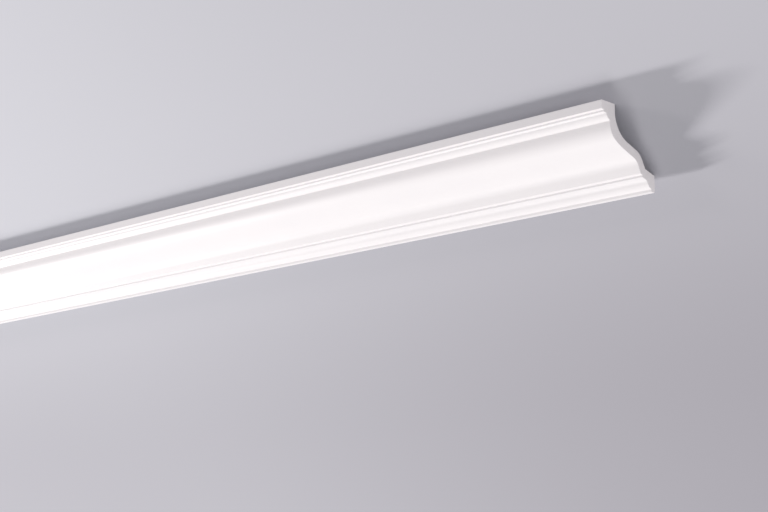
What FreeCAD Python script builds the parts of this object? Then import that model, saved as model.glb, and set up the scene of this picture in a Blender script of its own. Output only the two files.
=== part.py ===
import FreeCAD, Part
import os
import math

os.makedirs("parts", exist_ok=True)

# Overall sizes of one length of cornice, in millimetres
LENGTH = 2000.0            # the length it is sold in
DROP = 80.0                # upper bonding face down to the bottom edge
REACH = 87.0               # rear bonding face out to the front
CEILING_FLAT = 22.0        # width of the upper bonding face
WALL_FLAT = 18.0           # height of the rear bonding face

# The members of the face from the top down, in millimetres. Slopes are in
# degrees from straight down, positive towards the back.

# Upright fascia with a sloping underside, a quirk behind it and a flat step
FASCIA = 9.1
BEAD_SLOPE = 77.5          # underside of the fascia
BEAD = 3.45
QUIRK = 2.05               # upright drop that makes the dark line
STEP_SLOPE = 88.0
STEP = 3.55

# Upper ogee, a small hollow over a flatter round
UPPER_START = 63.0         # slope of the face where the hollow starts
UPPER_HOLLOW_R = 1.8
UPPER_STEEP = 16.0         # steepest slope, where hollow and round meet
UPPER_ROUND_R = 8.3
UPPER_END = 54.5
UPPER_LIP = 2.75           # straight down to the arris

# Great ogee, a full nose over a flat run into a hollow. The radius of the nose and
# the length of the run follow from the drop and the reach.
NOSE_DROP = 2.8            # upright strip between the arris and the nose
NOSE_TURN = 58.5           # slope where the nose goes over to its flatter part
SWEEP_R = 76.0             # flatter part of the nose
RUN_SLOPE = 71.0
HOLLOW_R = 13.5
STRIP_SLOPE = 24.0         # slope where the hollow runs out
STRIP = 7.4                # straight below the hollow

# Fillet under the great ogee
FILLET_SLOPE = 66.0
FILLET = 3.3               # width along the slope
FILLET_DROP = 2.2          # small upright drop behind it

# Lower ogee, a small hollow over a small round, and the foot at the bottom
LOWER_START = 75.0
LOWER_LEDGE = 5.9          # straight before the hollow
LOWER_HOLLOW_R = 4.7
LOWER_STEEP = 22.5
LOWER_ROUND_R = 9.3
LOWER_END = 68.0
LOWER_LIP = 1.0
FOOT_SLOPE = 10.5          # the foot leans back
FOOT = 2.95
SOFFIT = 5.55              # level underside from the foot to the rear bonding face

# The hidden back follows the face, with flatter curves
BODY = 9.8                 # thickness behind the run
STRIP_BODY = 9.5           # thickness behind the strip
BACK_STRIP_SLOPE = 30.5
FLARE_SLOPE = 75.0         # slope of the flare that runs out to the rear bonding face
BACK_NOSE_R = 29.0
BACK_HOLLOW_R = 18.5

# Softness of the long edges, as they come out of the die
EDGE_R = 0.5
SHARP_TURN = 15.0          # degrees, an edge that turns less is left as it is

BEND_SHARE = 0.9           # most of a straight that a bend beside it may take up
NEAR = 0.01                # lengths and heights closer than this count as equal


def heading(slope):
    """Unit step (out, down) along a slope."""
    turn = math.radians(slope)
    return (-math.sin(turn), math.cos(turn))


def inward(slope):
    """Unit step (out, down) square to a slope, into the material."""
    turn = math.radians(slope)
    return (-math.cos(turn), -math.sin(turn))


def moved(place, step, distance):
    """A point moved by a distance along a unit step."""
    return (place[0] + step[0] * distance, place[1] + step[1] * distance)


class Walk:
    """Lays straight and round pieces end to end along the section's outline.

    Points are kept as distance out from the rear bonding face and distance below
    the upper one.
    Each piece is a list of two points for a straight, or three for an arc.
    """

    def __init__(self, place, slope=0.0):
        self.place = place
        self.slope = slope
        self.pieces = []
        self.marks = {}

    def mark(self, name):
        """Keeps the place reached under a name."""
        self.marks[name] = self.place
        return self

    def straight(self, length):
        """Goes on in the same direction."""
        start = self.place
        self.place = moved(start, heading(self.slope), length)
        self.pieces.append([start, self.place])
        return self

    def corner(self, slope):
        """Turns on the spot."""
        self.slope = slope
        return self

    def curve(self, radius, slope):
        """Turns along an arc until the given slope is reached."""
        start = self.place
        away = radius if slope > self.slope else -radius
        centre = moved(start, inward(self.slope), away)
        middle = moved(centre, inward((self.slope + slope) / 2.0), -away)
        self.place = moved(centre, inward(slope), -away)
        self.pieces.append([start, middle, self.place])
        self.slope = slope
        return self


def lay_members(walk, nose_r, run):
    """Lays the members of the face from the top to the bottom edge."""
    walk.straight(FASCIA)
    walk.corner(BEAD_SLOPE).straight(BEAD)
    walk.corner(0.0).straight(QUIRK)
    walk.corner(STEP_SLOPE).straight(STEP)
    walk.corner(UPPER_START).curve(UPPER_HOLLOW_R, UPPER_STEEP)
    walk.curve(UPPER_ROUND_R, UPPER_END).straight(UPPER_LIP)
    walk.corner(0.0).straight(NOSE_DROP)
    walk.curve(nose_r, NOSE_TURN).curve(SWEEP_R, RUN_SLOPE)
    walk.mark("run").straight(run)
    walk.curve(HOLLOW_R, STRIP_SLOPE).mark("strip").straight(STRIP)
    walk.corner(FILLET_SLOPE).straight(FILLET)
    walk.corner(0.0).straight(FILLET_DROP)
    walk.corner(LOWER_START).straight(LOWER_LEDGE)
    walk.curve(LOWER_HOLLOW_R, LOWER_STEEP).curve(LOWER_ROUND_R, LOWER_END)
    walk.straight(LOWER_LIP).corner(FOOT_SLOPE).straight(FOOT)
    return walk


def face_walk():
    """The moulded face, from the top to the bottom edge, closed by a level soffit."""
    bare = lay_members(Walk((REACH, 0.0)), 0.0, 0.0)
    gap_across = bare.place[0] - SOFFIT
    gap_down = DROP - bare.place[1]
    # The nose, for each millimetre of its radius, and the run, for each of its length
    nose_across = 1.0 - math.cos(math.radians(NOSE_TURN))
    nose_down = math.sin(math.radians(NOSE_TURN))
    run_across = math.sin(math.radians(RUN_SLOPE))
    run_down = math.cos(math.radians(RUN_SLOPE))
    share = run_across * nose_down - nose_across * run_down
    nose_r = (run_across * gap_down - run_down * gap_across) / share
    run = (nose_down * gap_across - nose_across * gap_down) / share
    walk = lay_members(Walk((REACH, 0.0)), nose_r, run)
    return walk.corner(90.0).straight(SOFFIT)


def meeting(place_a, slope_a, place_b, slope_b):
    """The point where two lines, each given by a point and a slope, cross."""
    step_a = heading(slope_a)
    step_b = heading(slope_b)
    gap = (place_b[0] - place_a[0], place_b[1] - place_a[1])
    cross = step_a[0] * step_b[1] - step_a[1] * step_b[0]
    distance = (gap[0] * step_b[1] - gap[1] * step_b[0]) / cross
    return moved(place_a, step_a, distance)


def back_walk(face):
    """The hidden back, from the upper bonding face's back edge to the rear one's top edge.

    Four lines follow the face, and the bends behind the nose and behind the hollow
    are rounded as far as the straights beside them allow.
    """
    top = (REACH - CEILING_FLAT, 0.0)
    end = (0.0, DROP - WALL_FLAT)
    run = moved(face.marks["run"], inward(RUN_SLOPE), BODY)
    strip = moved(face.marks["strip"], inward(BACK_STRIP_SLOPE), STRIP_BODY)
    bend = meeting(top, 0.0, run, RUN_SLOPE)
    hollow = meeting(run, RUN_SLOPE, strip, BACK_STRIP_SLOPE)
    flare = meeting(strip, BACK_STRIP_SLOPE, end, FLARE_SLOPE)

    bend_tan = math.tan(math.radians(RUN_SLOPE) / 2.0)
    hollow_tan = math.tan(math.radians(RUN_SLOPE - BACK_STRIP_SLOPE) / 2.0)
    hollow_trim = min(BACK_HOLLOW_R * hollow_tan, BEND_SHARE * math.dist(hollow, flare))
    room = min(math.dist(top, bend), math.dist(bend, hollow) - hollow_trim)
    bend_trim = min(BACK_NOSE_R * bend_tan, BEND_SHARE * room)

    walk = Walk(top)
    walk.straight(math.dist(top, bend) - bend_trim)
    walk.curve(bend_trim / bend_tan, RUN_SLOPE)
    walk.straight(math.dist(bend, hollow) - bend_trim - hollow_trim)
    walk.curve(hollow_trim / hollow_tan, BACK_STRIP_SLOPE)
    walk.straight(math.dist(hollow, flare) - hollow_trim)
    walk.corner(FLARE_SLOPE).straight(math.dist(flare, end))
    return walk


def lying(place):
    """Turns a point of the section into the way the length lies on a floor.

    The back edge of the upper bonding face and the top edge of the rear one both
    rest on the floor, and the moulded face looks up.
    """
    out, down = place
    rest_out = REACH - CEILING_FLAT
    rest_down = DROP - WALL_FLAT
    span = math.hypot(rest_out, rest_down)
    across = (out * rest_out + (rest_down - down) * rest_down) / span
    height = ((out - rest_out) * rest_down + down * rest_out) / span
    return (across, height)


def to_edges(pieces):
    """Turns pieces of the section into edges in the plane of one end."""
    edges = []
    for piece in pieces:
        points = [FreeCAD.Vector(0.0, *lying(place)) for place in piece]
        if len(points) == 2:
            edges.append(Part.makeLine(points[0], points[1]))
        else:
            edges.append(Part.Arc(points[0], points[1], points[2]).toShape())
    return edges


def soften(solid):
    """Rounds every long edge at which the section turns sharply.

    The two back edges that the length rests on stay crisp, so both touch the floor.
    """
    sharp = []
    for edge in solid.Edges:
        place = edge.valueAt(edge.FirstParameter + 1.0)
        if abs(edge.Length - LENGTH) > NEAR or abs(place.z) < NEAR:
            continue
        sides = solid.ancestorsOfType(edge, Part.Face)
        normals = [side.normalAt(*side.Surface.parameter(place)) for side in sides]
        if math.degrees(normals[0].getAngle(normals[1])) > SHARP_TURN:
            sharp.append(edge)
    return solid.makeFillet(EDGE_R, sharp)


def cornice():
    """One length of cornice, lying on its back along X, middle over the origin."""
    face = face_walk()
    back = back_walk(face)
    upper_face = [(REACH - CEILING_FLAT, 0.0), (REACH, 0.0)]
    rear_face = [(0.0, DROP - WALL_FLAT), (0.0, DROP)]
    edges = to_edges(face.pieces + back.pieces + [upper_face, rear_face])
    section = Part.Face(Part.Wire(Part.__sortEdges__(edges)))
    solid = soften(section.extrude(FreeCAD.Vector(LENGTH, 0.0, 0.0)))
    box = solid.BoundBox
    solid.translate(FreeCAD.Vector(-LENGTH / 2.0, -box.Center.y, 0.0))
    return solid


moulding = cornice()
moulding.exportStep("parts/cornice_moulding.step")
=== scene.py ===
"""A length of white foam cornice moulding, lying on its back on a pale studio floor.

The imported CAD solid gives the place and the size. Its coarse arcs are replaced by a finely
sampled mesh of the same section, with a foam skin on the long faces and cut foam on the ends.
"""

import logging
import math
from dataclasses import dataclass, field
from enum import Enum

import bmesh
import bpy
from mathutils import Matrix, Vector


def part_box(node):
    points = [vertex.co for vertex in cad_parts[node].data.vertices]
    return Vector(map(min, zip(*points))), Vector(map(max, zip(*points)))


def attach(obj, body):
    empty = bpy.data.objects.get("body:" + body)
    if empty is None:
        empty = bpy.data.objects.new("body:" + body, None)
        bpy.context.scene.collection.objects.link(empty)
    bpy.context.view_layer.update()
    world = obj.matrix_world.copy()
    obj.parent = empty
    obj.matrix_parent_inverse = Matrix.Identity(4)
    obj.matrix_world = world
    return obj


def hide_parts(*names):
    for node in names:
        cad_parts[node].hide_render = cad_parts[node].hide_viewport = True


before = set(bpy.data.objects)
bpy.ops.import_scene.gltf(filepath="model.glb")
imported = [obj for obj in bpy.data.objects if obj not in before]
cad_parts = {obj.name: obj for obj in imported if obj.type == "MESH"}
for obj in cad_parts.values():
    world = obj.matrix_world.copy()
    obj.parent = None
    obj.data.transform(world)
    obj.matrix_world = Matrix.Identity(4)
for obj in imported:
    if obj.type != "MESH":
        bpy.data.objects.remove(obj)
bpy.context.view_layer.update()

log = logging.getLogger("cornice")
logging.basicConfig(level=logging.INFO, format="%(name)s: %(message)s")

NODE = "cornice_moulding"
PIECE = "cornice_moulding_foam"

# Metres in a millimetre: the section is in millimetres and the scene in metres
MM = 0.001
# Slope of a level line, in degrees from straight down
LEVEL = 90.0
# Corners of each long face. A face with more is an end.
QUAD = 4
# Finer layers that a noise pattern adds to its first one, in fine patterns and broad ones
FINE_LAYERS = 2.0
BROAD_LAYERS = 3.0
# The place on the floor, right of the middle, that the soft boxes look at
AIM = Vector((0.4, 0.0, 0.0))

# A Mix node's sockets, by number because several of them share a name
MIX_SHARE = 0
MIX_NUMBER_A = 2
MIX_NUMBER_B = 3
MIX_COLOUR_A = 6
MIX_COLOUR_B = 7
MIXED_NUMBER = 0
MIXED_COLOUR = 2

Point = tuple[float, float]


def linear(colour: str) -> tuple[float, float, float, float]:
    """Turns an sRGB hex colour into the linear colour that shaders and lamps take.

    Args:
        colour: the colour as "#rrggbb".

    Returns:
        Red, green, blue and alpha, linear.
    """
    channels = [int(colour[i:i + 2], 16) / 255.0 for i in (1, 3, 5)]
    # The sRGB curve is straight near black and a power above
    red, green, blue = (
        c / 12.92 if c <= 0.04045 else ((c + 0.055) / 1.055) ** 2.4 for c in channels
    )
    return (red, green, blue, 1.0)


def per_metre(size: float) -> float:
    """How often a pattern of a size in millimetres repeats in a metre."""
    return 1.0 / (size * MM)


def add_node(
    tree: bpy.types.NodeTree,
    kind: str,
    links: dict[str | int, object] | None = None,
    **settings: object,
) -> bpy.types.Node:
    """Adds a node with its settings and links.

    Args:
        tree: the node tree that gets the node.
        kind: the node's type name.
        links: for each input name or number, the output socket that feeds it or its plain value.
        settings: values of the node's own properties.

    Returns:
        The new node.
    """
    node = tree.nodes.new(kind)
    for name, value in settings.items():
        setattr(node, name, value)
    for name, value in (links or {}).items():
        if isinstance(value, bpy.types.NodeSocket):
            tree.links.new(value, node.inputs[name])
        else:
            node.inputs[name].default_value = value
    return node


def start_material(name: str) -> tuple[bpy.types.Material, bpy.types.NodeTree, bpy.types.Node]:
    """Makes a material that a finish then fills in.

    Args:
        name: the material's name.

    Returns:
        The material, its node tree and its surface shader.
    """
    material = bpy.data.materials.new(name)
    material.use_nodes = True
    tree = material.node_tree
    return material, tree, tree.nodes["Principled BSDF"]


def add_object(name: str, data: bpy.types.ID) -> bpy.types.Object:
    """Adds an object to the scene.

    Args:
        name: the object's name.
        data: its mesh, lamp or camera.

    Returns:
        The new object.
    """
    added = bpy.data.objects.new(name, data)
    bpy.context.scene.collection.objects.link(added)
    return added


def shine_along(holder: bpy.types.Object, ahead: Vector) -> None:
    """Turns a lamp so that it shines along a direction."""
    holder.rotation_mode = "QUATERNION"
    holder.rotation_quaternion = ahead.to_track_quat("-Z", "Y")


def heading(slope: float) -> Point:
    """Unit step (out, down) along a slope in degrees."""
    turn = math.radians(slope)
    return (-math.sin(turn), math.cos(turn))


def inward(slope: float) -> Point:
    """Unit step (out, down) square to a slope, into the material."""
    turn = math.radians(slope)
    return (-math.cos(turn), -math.sin(turn))


def moved(place: Point, step: Point, distance: float) -> Point:
    """A point moved by a distance along a unit step."""
    return (place[0] + step[0] * distance, place[1] + step[1] * distance)


def between(start: Point, end: Point, share: float) -> Point:
    """The point at a share of the way from one point to another."""
    return (start[0] + (end[0] - start[0]) * share, start[1] + (end[1] - start[1]) * share)


def meeting(place_a: Point, slope_a: float, place_b: Point, slope_b: float) -> Point:
    """The point where two lines cross.

    Args:
        place_a: a point on the first line.
        slope_a: the first line's slope in degrees.
        place_b: a point on the second line.
        slope_b: the second line's slope in degrees.

    Returns:
        The point that is on both lines.
    """
    step_a, step_b = heading(slope_a), heading(slope_b)
    gap = (place_b[0] - place_a[0], place_b[1] - place_a[1])
    cross = step_a[0] * step_b[1] - step_a[1] * step_b[0]
    return moved(place_a, step_a, (gap[0] * step_b[1] - gap[1] * step_b[0]) / cross)


@dataclass
class Walk:
    """Lays straight and round stretches end to end along the section's outline.

    Points are kept as (out, down): millimetres out from the rear bonding face and below
    the upper one. Slopes are in degrees from straight down, positive towards the back.
    """

    place: Point
    slope: float = 0.0
    # Degrees that one facet of an arc may turn, and the fewest facets of an arc
    arc_step: float = 2.5
    arc_facets: int = 2
    points: list[Point] = field(default_factory=list)
    marks: dict[str, Point] = field(default_factory=dict)

    def __post_init__(self) -> None:
        """Starts the outline at the first place."""
        self.points.append(self.place)

    def mark(self, name: str) -> "Walk":
        """Keeps the place reached under a name."""
        self.marks[name] = self.place
        return self

    def straight(self, length: float) -> "Walk":
        """Goes on in the same direction.

        Args:
            length: how far in millimetres.

        Returns:
            The walk itself.
        """
        self.place = moved(self.place, heading(self.slope), length)
        self.points.append(self.place)
        return self

    def corner(self, slope: float) -> "Walk":
        """Turns on the spot."""
        self.slope = slope
        return self

    def curve(self, radius: float, slope: float) -> "Walk":
        """Turns along an arc until the given slope is reached.

        Args:
            radius: the arc's radius in millimetres.
            slope: the slope at its end in degrees.

        Returns:
            The walk itself.
        """
        away = radius if slope > self.slope else -radius
        centre = moved(self.place, inward(self.slope), away)
        turn = slope - self.slope
        facets = max(self.arc_facets, math.ceil(abs(turn) / self.arc_step))
        for i in range(1, facets + 1):
            self.points.append(moved(centre, inward(self.slope + turn * i / facets), -away))
        self.place = self.points[-1]
        self.slope = slope
        return self


@dataclass
class Section:
    """The moulding's section, in millimetres and in degrees from straight down."""

    # Height and depth as it hangs, and the widths of its upper and rear bonding faces
    drop: float = 80.0
    reach: float = 87.0
    ceiling_flat: float = 22.0
    wall_flat: float = 18.0

    # Fascia with a sloping underside, a quirk behind it and a flat step
    fascia: float = 9.1
    bead_slope: float = 77.5
    bead: float = 3.45
    quirk: float = 2.05
    step_slope: float = 88.0
    step: float = 3.55

    # Upper ogee, a small hollow over a flatter round
    upper_start: float = 63.0
    upper_hollow_r: float = 1.8
    upper_steep: float = 16.0
    upper_round_r: float = 8.3
    upper_end: float = 54.5
    upper_lip: float = 2.75

    # Great ogee, a full nose over a flat run into a hollow
    nose_drop: float = 2.8
    nose_turn: float = 58.5
    sweep_r: float = 76.0
    run_slope: float = 71.0
    hollow_r: float = 13.5
    strip_slope: float = 24.0
    strip: float = 7.4

    # Fillet under the great ogee
    fillet_slope: float = 66.0
    fillet: float = 3.3
    fillet_drop: float = 2.2

    # Lower ogee, a small hollow over a small round, and the foot at the bottom
    lower_start: float = 75.0
    lower_ledge: float = 5.9
    lower_hollow_r: float = 4.7
    lower_steep: float = 22.5
    lower_round_r: float = 9.3
    lower_end: float = 68.0
    lower_lip: float = 1.0
    foot_slope: float = 10.5
    foot: float = 2.95
    soffit: float = 5.55

    # Hidden back. A bend takes up at most bend_share of a straight beside it.
    body: float = 9.8
    strip_body: float = 9.5
    back_strip_slope: float = 30.5
    flare_slope: float = 75.0
    back_nose_r: float = 29.0
    back_hollow_r: float = 18.5
    bend_share: float = 0.9

    # Softness of the long edges, as they come out of the die. An edge that turns less than
    # sharp_turn is left as it is, and each facet of a rounded one turns at most corner_step.
    edge_r: float = 0.5
    sharp_turn: float = 15.0
    corner_step: float = 12.0

    def lay_members(self, walk: Walk, nose_r: float, run: float) -> Walk:
        """Lays the members of the face from the top to the bottom edge.

        Args:
            walk: where the members are laid.
            nose_r: radius of the great ogee's nose.
            run: length of its flat run.

        Returns:
            The walk, at the bottom edge.
        """
        walk.straight(self.fascia)
        walk.corner(self.bead_slope).straight(self.bead)
        walk.corner(0.0).straight(self.quirk)
        walk.corner(self.step_slope).straight(self.step)
        walk.corner(self.upper_start).curve(self.upper_hollow_r, self.upper_steep)
        walk.curve(self.upper_round_r, self.upper_end).straight(self.upper_lip)
        walk.corner(0.0).straight(self.nose_drop)
        walk.curve(nose_r, self.nose_turn).curve(self.sweep_r, self.run_slope)
        walk.mark("run").straight(run)
        walk.curve(self.hollow_r, self.strip_slope).mark("strip").straight(self.strip)
        walk.corner(self.fillet_slope).straight(self.fillet)
        walk.corner(0.0).straight(self.fillet_drop)
        walk.corner(self.lower_start).straight(self.lower_ledge)
        walk.curve(self.lower_hollow_r, self.lower_steep).curve(self.lower_round_r, self.lower_end)
        walk.straight(self.lower_lip).corner(self.foot_slope).straight(self.foot)
        return walk

    def face(self) -> Walk:
        """The moulded face, from the top to the bottom edge, closed by a level soffit.

        The nose's radius and the run's length are what the drop and the reach leave for them.

        Returns:
            The walk along the face.
        """
        bare = self.lay_members(Walk((self.reach, 0.0)), 0.0, 0.0)
        gap_across = bare.place[0] - self.soffit
        gap_down = self.drop - bare.place[1]
        # The nose, for each millimetre of its radius, and the run, for each of its length
        nose_across = 1.0 - math.cos(math.radians(self.nose_turn))
        nose_down = math.sin(math.radians(self.nose_turn))
        run_across = math.sin(math.radians(self.run_slope))
        run_down = math.cos(math.radians(self.run_slope))
        share = run_across * nose_down - nose_across * run_down
        nose_r = (run_across * gap_down - run_down * gap_across) / share
        run = (nose_down * gap_across - nose_across * gap_down) / share
        walk = self.lay_members(Walk((self.reach, 0.0)), nose_r, run)
        return walk.corner(LEVEL).straight(self.soffit)

    def back(self, face: Walk) -> Walk:
        """The hidden back, from the upper bonding face's back edge to the rear one's top edge.

        Args:
            face: the walk along the face, which the back follows.

        Returns:
            The walk along the back.
        """
        top = (self.reach - self.ceiling_flat, 0.0)
        end = (0.0, self.drop - self.wall_flat)
        run = moved(face.marks["run"], inward(self.run_slope), self.body)
        strip = moved(face.marks["strip"], inward(self.back_strip_slope), self.strip_body)
        bend = meeting(top, 0.0, run, self.run_slope)
        hollow = meeting(run, self.run_slope, strip, self.back_strip_slope)
        flare = meeting(strip, self.back_strip_slope, end, self.flare_slope)
        bend_tan = math.tan(math.radians(self.run_slope) / 2.0)
        hollow_tan = math.tan(math.radians(self.run_slope - self.back_strip_slope) / 2.0)
        hollow_trim = min(self.back_hollow_r * hollow_tan, self.bend_share * math.dist(hollow, flare))
        space = min(math.dist(top, bend), math.dist(bend, hollow) - hollow_trim)
        bend_trim = min(self.back_nose_r * bend_tan, self.bend_share * space)
        walk = Walk(top)
        walk.straight(math.dist(top, bend) - bend_trim)
        walk.curve(bend_trim / bend_tan, self.run_slope)
        walk.straight(math.dist(bend, hollow) - bend_trim - hollow_trim)
        walk.curve(hollow_trim / hollow_tan, self.back_strip_slope)
        walk.straight(math.dist(hollow, flare) - hollow_trim)
        walk.corner(self.flare_slope).straight(math.dist(flare, end))
        return walk

    def outline(self) -> tuple[list[Point], list[Point]]:
        """The whole outline as two open runs that meet at the resting edges.

        Returns:
            The moulded face with its bonding faces, and the hidden back.
        """
        face = self.face()
        top, end = (self.reach - self.ceiling_flat, 0.0), (0.0, self.drop - self.wall_flat)
        front = [top, *face.points, end]
        back = self.back(face).points[::-1]
        return self.softened(front), self.softened(back)

    def softened(self, points: list[Point]) -> list[Point]:
        """Rounds the sharp corners of an open run of points with arcs, its ends kept.

        Args:
            points: the run with crisp corners.

        Returns:
            The run with a small arc at each corner.
        """
        made = [points[0]]
        for before, corner, after in zip(points, points[1:], points[2:]):
            turn = self.turn(before, corner, after)
            if abs(turn) < self.sharp_turn:
                made.append(corner)
                continue
            trim = self.edge_r * math.tan(math.radians(abs(turn)) / 2.0)
            start = between(corner, before, trim / math.dist(corner, before))
            side = math.copysign(self.edge_r / trim, turn)
            centre = (
                start[0] - (corner[1] - start[1]) * side,
                start[1] + (corner[0] - start[0]) * side,
            )
            arm = (start[0] - centre[0], start[1] - centre[1])
            facets = math.ceil(abs(turn) / self.corner_step)
            for i in range(facets + 1):
                swing = math.radians(turn * i / facets)
                made.append((
                    centre[0] + arm[0] * math.cos(swing) - arm[1] * math.sin(swing),
                    centre[1] + arm[0] * math.sin(swing) + arm[1] * math.cos(swing),
                ))
        made.append(points[-1])
        return made

    @staticmethod
    def turn(before: Point, corner: Point, after: Point) -> float:
        """How far the outline turns at a corner.

        Args:
            before: the point before the corner.
            corner: the corner.
            after: the point after it.

        Returns:
            Degrees from -180 to 180.
        """
        first = math.atan2(corner[1] - before[1], corner[0] - before[0])
        second = math.atan2(after[1] - corner[1], after[0] - corner[0])
        return (math.degrees(second - first) + 180.0) % 360.0 - 180.0


@dataclass
class Lying:
    """How the length lies: on its back, the inner edges of both bonding faces on the floor."""

    section: Section
    # Millimetres that the outline is shifted across, so that it lies over the X axis
    middle: float = 0.0
    # The way between the two resting edges: out, down and straight
    out: float = field(init=False)
    down: float = field(init=False)
    span: float = field(init=False)

    def __post_init__(self) -> None:
        """Works out the way between the two resting edges."""
        self.out = self.section.reach - self.section.ceiling_flat
        self.down = self.section.drop - self.section.wall_flat
        self.span = math.hypot(self.out, self.down)

    @classmethod
    def centred(cls, section: Section) -> "Lying":
        """Lays a section with the middle of its width over the X axis.

        Args:
            section: the moulding's section.

        Returns:
            How it lies.
        """
        lying = cls(section)
        places = [lying.flat(place)[0] for run in section.outline() for place in run]
        lying.middle = (min(places) + max(places)) / 2.0
        return lying

    def flat(self, place: Point) -> Point:
        """Turns a point of the section into its place over the floor.

        Args:
            place: the point as (out, down).

        Returns:
            The point as (across, height), in millimetres.
        """
        out, down = place
        across = (out * self.out + (self.down - down) * self.down) / self.span
        height = ((out - self.out) * self.down + down * self.out) / self.span
        return across - self.middle, height

    def turned(self, along: float, out: float, down: float) -> Vector:
        """Turns a direction of the section into the frame.

        Args:
            along: its part along the length, to the right.
            out: its part out from the rear bonding face.
            down: its part down from the upper bonding face.

        Returns:
            The direction in the frame.
        """
        across = (out * self.out - down * self.down) / self.span
        height = (out * self.down + down * self.out) / self.span
        return Vector((along, across, height))

    def facing(self, slope: float, swing: float) -> Vector:
        """Works out the direction that a facet of the face looks in.

        Args:
            slope: the facet's slope in degrees.
            swing: degrees that the direction is then swung along the length, to the right.

        Returns:
            The direction in the frame.
        """
        tilt, turn = math.radians(slope), math.radians(swing)
        reach = math.cos(turn)
        return self.turned(math.sin(turn), math.cos(tilt) * reach, math.sin(tilt) * reach)


class Surface(Enum):
    """The moulding's surfaces, each with its own finish. Values are material slots."""

    SKIN = 0
    BACK = 1
    CUT = 2


@dataclass(frozen=True)
class FoamSkin:
    """Extruded polystyrene foam, its skin drawn through the die.

    To the eye it is an even white with a soft sheen at low angles. From near, fine lines
    run along the length over a faint orange peel of closed cells.
    """

    name: str
    light: str = "#F8F6F6"
    shade: str = "#F4F2F3"
    # The die lines make the sheen a little uneven
    roughness: float = 0.5
    roughness_spread: float = 0.06
    ior: float = 1.5
    # Real die lines lie about 0.3 mm apart and real cells are 0.2 mm wide. Both are too
    # fine to show, so they are drawn 1.4 mm and 1.1 mm wide, and very shallow. The grit is
    # how much the finer lines add to the coarse ones.
    die_line: float = 1.4
    die_run: float = 650.0
    die_depth: float = 0.02
    die_grit: float = 0.55
    cell: float = 1.1
    cell_depth: float = 0.005
    # The white drifts very slightly over a hand's width, as the foam's density does
    patch: float = 60.0

    def build(self) -> bpy.types.Material:
        """Makes the material.

        Returns:
            The material, ready for a slot.
        """
        material, tree, shader = start_material(self.name)
        shader.inputs["IOR"].default_value = self.ior
        coords = add_node(tree, "ShaderNodeTexCoord")
        drawn = add_node(tree, "ShaderNodeMapping", {
            "Vector": coords.outputs["Object"],
            "Scale": (per_metre(self.die_run), per_metre(self.die_line), per_metre(self.die_line)),
        })
        lines = add_node(tree, "ShaderNodeTexNoise", {
            "Vector": drawn.outputs["Vector"], "Scale": 1.0,
            "Detail": FINE_LAYERS, "Roughness": self.die_grit,
        })
        cells = add_node(tree, "ShaderNodeTexNoise", {
            "Vector": coords.outputs["Object"], "Scale": per_metre(self.cell), "Detail": FINE_LAYERS,
        })
        patches = add_node(tree, "ShaderNodeTexNoise", {
            "Vector": coords.outputs["Object"], "Scale": per_metre(self.patch), "Detail": BROAD_LAYERS,
        })
        tint = add_node(tree, "ShaderNodeMix", {
            MIX_SHARE: patches.outputs["Fac"],
            MIX_COLOUR_A: linear(self.light),
            MIX_COLOUR_B: linear(self.shade),
        }, data_type="RGBA")
        gloss = add_node(tree, "ShaderNodeMapRange", {
            "Value": lines.outputs["Fac"],
            "To Min": self.roughness - self.roughness_spread,
            "To Max": self.roughness + self.roughness_spread,
        })
        line_bump = add_node(tree, "ShaderNodeBump", {
            "Height": lines.outputs["Fac"], "Strength": 1.0, "Distance": self.die_depth * MM,
        })
        cell_bump = add_node(tree, "ShaderNodeBump", {
            "Height": cells.outputs["Fac"], "Strength": 1.0, "Distance": self.cell_depth * MM,
            "Normal": line_bump.outputs["Normal"],
        })
        tree.links.new(tint.outputs[MIXED_COLOUR], shader.inputs["Base Color"])
        tree.links.new(gloss.outputs["Result"], shader.inputs["Roughness"])
        tree.links.new(cell_bump.outputs["Normal"], shader.inputs["Normal"])
        return material


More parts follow.
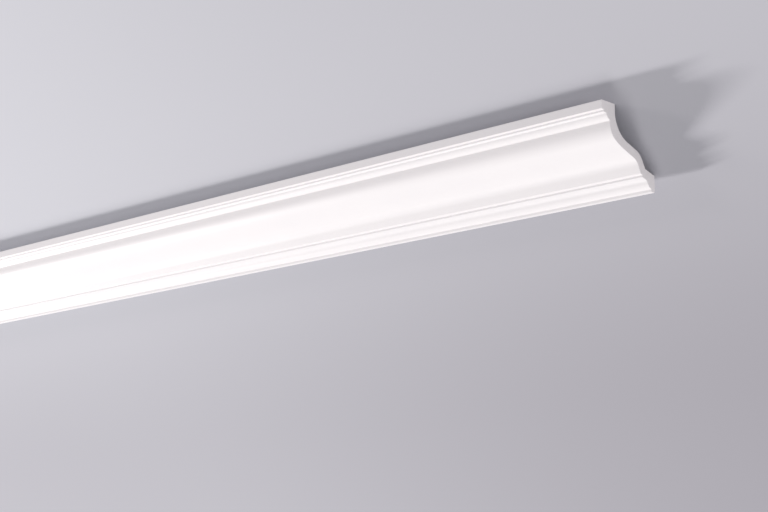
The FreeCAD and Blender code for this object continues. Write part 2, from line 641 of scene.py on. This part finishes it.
@dataclass(frozen=True)
class CutFoam:
    """Extruded polystyrene foam sawn across, where the blade opens its cells.

    To the eye it is a little greyer than the skin and quite dull, with a fine crumb of
    open cells and faint straight marks from the blade.
    """

    name: str
    light: str = "#F2EFEF"
    shade: str = "#E6E3E4"
    roughness: float = 0.85
    ior: float = 1.5
    # Real cells are about 0.2 mm and blade marks 0.4 mm, drawn coarser so that they show
    cell: float = 0.7
    cell_depth: float = 0.07
    mark: float = 1.3
    mark_run: float = 45.0
    mark_depth: float = 0.03
    # Degrees by which the marks lean, and their share in the tint beside the cells
    mark_lean: float = 38.0
    mark_share: float = 0.35

    def build(self) -> bpy.types.Material:
        """Makes the material.

        Returns:
            The material, ready for a slot.
        """
        material, tree, shader = start_material(self.name)
        shader.inputs["IOR"].default_value = self.ior
        shader.inputs["Roughness"].default_value = self.roughness
        coords = add_node(tree, "ShaderNodeTexCoord")
        cells = add_node(tree, "ShaderNodeTexVoronoi", {
            "Vector": coords.outputs["Object"], "Scale": per_metre(self.cell),
        }, feature="SMOOTH_F1")
        leant = add_node(tree, "ShaderNodeMapping", {
            "Vector": coords.outputs["Object"], "Rotation": (math.radians(self.mark_lean), 0.0, 0.0),
        })
        sawn = add_node(tree, "ShaderNodeMapping", {
            "Vector": leant.outputs["Vector"],
            "Scale": (1.0, per_metre(self.mark), per_metre(self.mark_run)),
        })
        marks = add_node(tree, "ShaderNodeTexNoise", {
            "Vector": sawn.outputs["Vector"], "Scale": 1.0, "Detail": FINE_LAYERS,
        })
        crumb = add_node(tree, "ShaderNodeMix", {
            MIX_SHARE: self.mark_share,
            MIX_NUMBER_A: cells.outputs["Distance"],
            MIX_NUMBER_B: marks.outputs["Fac"],
        })
        tint = add_node(tree, "ShaderNodeMix", {
            MIX_SHARE: crumb.outputs[MIXED_NUMBER],
            MIX_COLOUR_A: linear(self.light),
            MIX_COLOUR_B: linear(self.shade),
        }, data_type="RGBA")
        mark_bump = add_node(tree, "ShaderNodeBump", {
            "Height": marks.outputs["Fac"], "Strength": 1.0, "Distance": self.mark_depth * MM,
        })
        cell_bump = add_node(tree, "ShaderNodeBump", {
            "Height": cells.outputs["Distance"], "Strength": 1.0, "Distance": self.cell_depth * MM,
            "Normal": mark_bump.outputs["Normal"],
        })
        tree.links.new(tint.outputs[MIXED_COLOUR], shader.inputs["Base Color"])
        tree.links.new(cell_bump.outputs["Normal"], shader.inputs["Normal"])
        return material


@dataclass
class Moulding:
    """The one piece: a length of cornice with its moulded face, back and sawn ends."""

    section: Section
    lying: Lying
    length: float
    # The saw breaks the edge round each end by this many millimetres
    rim: float = 0.25
    # How much more the large faces count in the shading where they meet small ones. The
    # scale runs from 1 to 100, and at 50 all count the same.
    evenness: int = 100
    skin: FoamSkin = FoamSkin("extruded_polystyrene_skin")
    # The back is a little duller than the face
    back: FoamSkin = FoamSkin("extruded_polystyrene_back", roughness=0.6)
    cut: CutFoam = CutFoam("sawn_polystyrene_foam")

    def stations(self) -> list[tuple[float, float]]:
        """Where the outline stands along the length, from left to right.

        Returns:
            Each place with how far the outline is drawn in there, in millimetres.
        """
        half = self.length / 2.0
        inner = half - self.rim
        return [(-half, self.rim), (-inner, 0.0), (0.0, 0.0), (inner, 0.0), (half, self.rim)]

    def ring(self) -> tuple[list[Point], list[Point], int]:
        """The closed outline as it stands on the floor.

        Returns:
            Its points, a unit step into the foam at each, and how many points the face has.
        """
        front, back = self.section.outline()
        points = [self.lying.flat(place) for place in front + back[1:-1]]
        inwards = []
        for i in range(len(points)):
            before, after = points[i - 1], points[(i + 1) % len(points)]
            step = Vector((after[0] - before[0], after[1] - before[1])).normalized()
            inwards.append((-step.y, step.x))
        area = sum(a[0] * b[1] - b[0] * a[1] for a, b in zip(points, points[1:] + points[:1]))
        if area < 0.0:
            inwards = [(-x, -y) for x, y in inwards]
        return points, inwards, len(front)

    def shape(self) -> bpy.types.Mesh:
        """Joins the outlines along the length and closes both ends.

        Returns:
            The mesh, with the surface of each face as its material slot.
        """
        points, inwards, front_count = self.ring()
        count = len(points)
        stations = self.stations()
        verts = []
        for along, drawn_in in stations:
            for place, step in zip(points, inwards):
                across, height = moved(place, step, drawn_in)
                verts.append((along * MM, across * MM, max(height, 0.0) * MM))
        faces, surfaces = [], []
        for near in range(0, len(verts) - count, count):
            far = near + count
            for i in range(count):
                j = (i + 1) % count
                faces.append((near + i, near + j, far + j, far + i))
                surfaces.append(Surface.SKIN if i < front_count - 1 else Surface.BACK)
        faces.append(tuple(range(count)))
        faces.append(tuple(range(len(verts) - count, len(verts))))
        surfaces += [Surface.CUT, Surface.CUT]
        mesh = bpy.data.meshes.new(PIECE)
        mesh.from_pydata(verts, [], faces)
        for polygon, surface in zip(mesh.polygons, surfaces):
            polygon.material_index = surface.value
            polygon.use_smooth = True
        mesh.update()
        self.tidy_faces(mesh)
        return mesh

    @staticmethod
    def tidy_faces(mesh: bpy.types.Mesh) -> None:
        """Turns all faces outwards and splits the two ends into triangles.

        Args:
            mesh: the mesh, which is changed in place.
        """
        work = bmesh.new()
        work.from_mesh(mesh)
        ends = [face for face in work.faces if len(face.verts) > QUAD]
        bmesh.ops.triangulate(work, faces=ends)
        bmesh.ops.recalc_face_normals(work, faces=work.faces)
        work.to_mesh(mesh)
        work.free()

    def build(self) -> bpy.types.Object:
        """Makes the piece and dresses each of its surfaces.

        Returns:
            The piece, lying on the floor.
        """
        mesh = self.shape()
        finishes = {Surface.SKIN: self.skin, Surface.BACK: self.back, Surface.CUT: self.cut}
        for surface in Surface:
            mesh.materials.append(finishes[surface].build())
        piece = add_object(PIECE, mesh)
        piece.modifiers.new("even_normals", "WEIGHTED_NORMAL").weight = self.evenness
        return piece


@dataclass(frozen=True)
class PaintedFloor:
    """Matt paint rolled on the studio floor. Places are in metres.

    To the eye it is a flat pale grey without shine, with a roller's soft stipple. Near the
    moulding a painted shade deepens its tone from left to right and from the near side to
    the far side. Towards the key a painted shade darkens the paint against the lamp's light.
    """

    name: str = "rolled_matt_paint_and_painted_shade"
    pale: str = "#D7D9DF"
    # The darker grey that the painted shade near the moulding mixes into the paint
    painted_shade: str = "#B0AFB6"
    roughness: float = 1.0
    shine: float = 0.0
    # Where the painted shade starts and is full, across and along, and the share that comes
    # in across. The rest comes in along.
    near_edge: float = 0.17
    far_edge: float = -0.35
    left_edge: float = -0.12
    right_edge: float = 1.20
    across_share: float = 0.57
    # The painted shade fades out again between these distances from a place by the moulding
    pool_centre: tuple[float, float, float] = (0.4, -0.05, 0.0)
    pool_inner: float = 1.1
    pool_outer: float = 6.0
    # Painted shade: towards the key the paint darkens as the light grows, so that the floor looks even
    bright_side: str = "#757679"
    bright_start: float = -0.6
    bright_end: float = -8.0
    # A roller leaves a stipple about 2.5 mm wide, which is drawn at that width
    nap: float = 2.5
    nap_depth: float = 0.005

    def build(self) -> bpy.types.Material:
        """Makes the material.

        Returns:
            The material, ready for a slot.
        """
        material, tree, shader = start_material(self.name)
        shader.inputs["Roughness"].default_value = self.roughness
        shader.inputs["Specular IOR Level"].default_value = self.shine
        coords = add_node(tree, "ShaderNodeTexCoord")
        parts = add_node(tree, "ShaderNodeSeparateXYZ", {"Vector": coords.outputs["Object"]})
        across = add_node(tree, "ShaderNodeMapRange", {
            "Value": parts.outputs["Y"], "From Min": self.near_edge, "From Max": self.far_edge,
            "To Max": self.across_share,
        }, interpolation_type="SMOOTHSTEP")
        along = add_node(tree, "ShaderNodeMapRange", {
            "Value": parts.outputs["X"], "From Min": self.left_edge, "From Max": self.right_edge,
            "To Max": 1.0 - self.across_share,
        }, interpolation_type="SMOOTHSTEP")
        share = add_node(tree, "ShaderNodeMath", {
            0: across.outputs["Result"], 1: along.outputs["Result"],
        }, operation="ADD")
        away = add_node(tree, "ShaderNodeVectorMath", {
            0: coords.outputs["Object"], 1: self.pool_centre,
        }, operation="DISTANCE")
        pool = add_node(tree, "ShaderNodeMapRange", {
            "Value": away.outputs["Value"], "From Min": self.pool_inner, "From Max": self.pool_outer,
            "To Min": 1.0, "To Max": 0.0,
        }, interpolation_type="SMOOTHSTEP")
        depth = add_node(tree, "ShaderNodeMath", {
            0: share.outputs["Value"], 1: pool.outputs["Result"],
        }, operation="MULTIPLY")
        # Painted shade: the paint is mixed towards a darker grey near the moulding
        shaded_tone = add_node(tree, "ShaderNodeMix", {
            MIX_SHARE: depth.outputs["Value"],
            MIX_COLOUR_A: linear(self.pale),
            MIX_COLOUR_B: linear(self.painted_shade),
        }, data_type="RGBA")
        # Painted shade towards the key, darker where the lamp's light is stronger
        bright = add_node(tree, "ShaderNodeMapRange", {
            "Value": parts.outputs["X"],
            "From Min": self.bright_start, "From Max": self.bright_end,
        })
        evened = add_node(tree, "ShaderNodeMix", {
            MIX_SHARE: bright.outputs["Result"],
            MIX_COLOUR_A: shaded_tone.outputs[MIXED_COLOUR],
            MIX_COLOUR_B: linear(self.bright_side),
        }, data_type="RGBA")
        nap = add_node(tree, "ShaderNodeTexNoise", {
            "Vector": coords.outputs["Object"], "Scale": per_metre(self.nap), "Detail": FINE_LAYERS,
        })
        bump = add_node(tree, "ShaderNodeBump", {
            "Height": nap.outputs["Fac"], "Strength": 1.0, "Distance": self.nap_depth * MM,
        })
        tree.links.new(evened.outputs[MIXED_COLOUR], shader.inputs["Base Color"])
        tree.links.new(bump.outputs["Normal"], shader.inputs["Normal"])
        return material


@dataclass
class Floor:
    """A wide pale studio floor, square, its size in metres."""

    name: str = "studio_floor"
    size: float = 16.0
    finish: PaintedFloor = PaintedFloor()

    def build(self) -> None:
        """Makes the floor under the moulding."""
        half = self.size / 2.0
        corners = [(-half, -half, 0.0), (half, -half, 0.0), (half, half, 0.0), (-half, half, 0.0)]
        mesh = bpy.data.meshes.new(self.name)
        mesh.from_pydata(corners, [], [(0, 1, 2, 3)])
        mesh.materials.append(self.finish.build())
        floor = add_object(self.name, mesh)


@dataclass(frozen=True)
class DistantLamp:
    """A far lamp. A facet of the given slope, swung along the length, faces it squarely.

    Its strength is in watts per square metre, and its angle is how wide it looks.
    """

    name: str
    slope: float
    swing: float
    strength: float
    angle: float
    colour: str

    def build(self, lying: Lying) -> None:
        """Makes the lamp.

        Args:
            lying: how the length lies.
        """
        lamp = bpy.data.lights.new(self.name, "SUN")
        lamp.energy = self.strength
        lamp.angle = math.radians(self.angle)
        lamp.color = linear(self.colour)[:3]
        shine_along(add_object(self.name, lamp), -lying.facing(self.slope, self.swing))


@dataclass(frozen=True)
class StripBox:
    """A soft box some metres off, so that its light falls away along the length.

    A facet of the given slope, swung along the length, looks straight at it. Its sizes
    are in metres.
    """

    name: str
    slope: float
    swing: float
    distance: float
    width: float
    height: float
    watts: float
    colour: str

    def build(self, lying: Lying) -> None:
        """Makes the lamp.

        Args:
            lying: how the length lies.
        """
        lamp = bpy.data.lights.new(self.name, "AREA")
        lamp.shape = "RECTANGLE"
        lamp.size, lamp.size_y = self.width, self.height
        lamp.energy = self.watts
        lamp.color = linear(self.colour)[:3]
        towards = lying.facing(self.slope, self.swing)
        holder = add_object(self.name, lamp)
        holder.location = AIM + towards * self.distance
        shine_along(holder, -towards)


@dataclass
class Studio:
    """Soft light from all round, a low key from past the left end, and three fills.

    The key throws the shadow along the upper bonding face and past the right end.
    """

    ambient: float = 0.382
    ambient_colour: str = "#FCFAFF"
    # What the camera sees behind the floor, and what shows in anything shiny
    backdrop: str = "#D7D9DF"
    key: StripBox = StripBox(
        "key", slope=80.0, swing=-75.0, distance=15.0,
        width=0.8, height=1.5, watts=3210.0, colour="#FFFBF9",
    )
    wide_fill: DistantLamp = DistantLamp(
        "wide_fill", slope=90.0, swing=-22.0, strength=0.81, angle=25.0, colour="#FFFBF9",
    )
    end_fill: DistantLamp = DistantLamp(
        "end_fill", slope=30.0, swing=70.0, strength=0.94, angle=16.0, colour="#FFFBF9",
    )
    edge_fill: StripBox = StripBox(
        "edge_fill", slope=-25.0, swing=-50.0, distance=8.0,
        width=1.2, height=1.2, watts=147.0, colour="#FFF6F3",
    )

    def build_world(self) -> None:
        """Makes the soft light and the backdrop."""
        world = bpy.data.worlds.new("studio_light")
        world.use_nodes = True
        tree = world.node_tree
        light = tree.nodes["Background"]
        light.inputs["Color"].default_value = linear(self.ambient_colour)
        light.inputs["Strength"].default_value = self.ambient
        shown = add_node(tree, "ShaderNodeBackground", {"Color": linear(self.backdrop)})
        rays = add_node(tree, "ShaderNodeLightPath")
        mirrored = add_node(tree, "ShaderNodeMath", {
            0: rays.outputs["Is Glossy Ray"], 1: rays.outputs["Is Transmission Ray"],
        }, operation="MAXIMUM")
        seen = add_node(tree, "ShaderNodeMath", {
            0: rays.outputs["Is Camera Ray"], 1: mirrored.outputs["Value"],
        }, operation="MAXIMUM")
        mix = add_node(tree, "ShaderNodeMixShader", {
            0: seen.outputs["Value"], 1: light.outputs["Background"], 2: shown.outputs["Background"],
        })
        tree.links.new(mix.outputs["Shader"], tree.nodes["World Output"].inputs["Surface"])
        bpy.context.scene.world = world

    def build(self, lying: Lying) -> None:
        """Makes the world and the lamps.

        Args:
            lying: how the length lies, which the lamps are turned to.
        """
        self.build_world()
        for lamp in (self.key, self.wide_fill, self.end_fill, self.edge_fill):
            lamp.build(lying)
            log.info("%s: lamp placed", lamp.name)


@dataclass(frozen=True)
class PhotoCamera:
    """The photograph's camera, which keeps its place beside the moulding as that lies down."""

    name: str = "photo_camera"
    # Millimetres past the right end, out from the rear bonding face and below the upper one
    past_end: float = 927.1
    out: float = 1357.9
    below: float = 480.1
    # Degrees round from straight on, and up from level
    yaw: float = 43.976
    pitch: float = 11.662
    # The lens, from the photograph's focal length and width in pixels and a 36 mm film
    focal_px: float = 1640.0
    width_px: float = 768.0
    film: float = 36.0
    # Metres between which things are drawn
    clip_start: float = 0.05
    clip_end: float = 50.0

    def build(self, lying: Lying, length: float) -> None:
        """Makes the camera and sets it as the scene's.

        Args:
            lying: how the length lies, which the camera is turned with.
            length: the moulding's length in millimetres.
        """
        data = bpy.data.cameras.new(self.name)
        data.sensor_width = self.film
        data.lens = self.focal_px / self.width_px * data.sensor_width
        data.clip_start, data.clip_end = self.clip_start, self.clip_end
        yaw, pitch = math.radians(self.yaw), math.radians(self.pitch)
        flat = math.cos(pitch)
        right = lying.turned(math.cos(yaw), -math.sin(yaw), 0.0)
        ahead = lying.turned(-math.sin(yaw) * flat, -math.cos(yaw) * flat, -math.sin(pitch))
        up = right.cross(ahead)
        across, height = lying.flat((self.out, self.below))
        camera = add_object(self.name, data)
        camera.matrix_world = Matrix((
            (right.x, up.x, -ahead.x, (length / 2.0 + self.past_end) * MM),
            (right.y, up.y, -ahead.y, across * MM),
            (right.z, up.z, -ahead.z, height * MM),
            (0.0, 0.0, 0.0, 1.0),
        ))
        bpy.context.scene.camera = camera


def main() -> None:
    """Builds the camera, the studio, the floor and the moulding, and logs each piece."""
    low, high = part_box(NODE)
    length = (high.x - low.x) / MM
    section = Section()
    lying = Lying.centred(section)
    PhotoCamera().build(lying, length)
    log.info("photo_camera: set up")
    Studio().build(lying)
    Floor().build()
    log.info("studio_floor: laid")
    piece = Moulding(section, lying, length).build()
    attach(piece, "root")
    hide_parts(NODE)
    log.info("%s: %d faces", piece.name, len(piece.data.polygons))
    bpy.context.scene.view_settings.view_transform = "Standard"


if __name__ == "__main__":
    main()
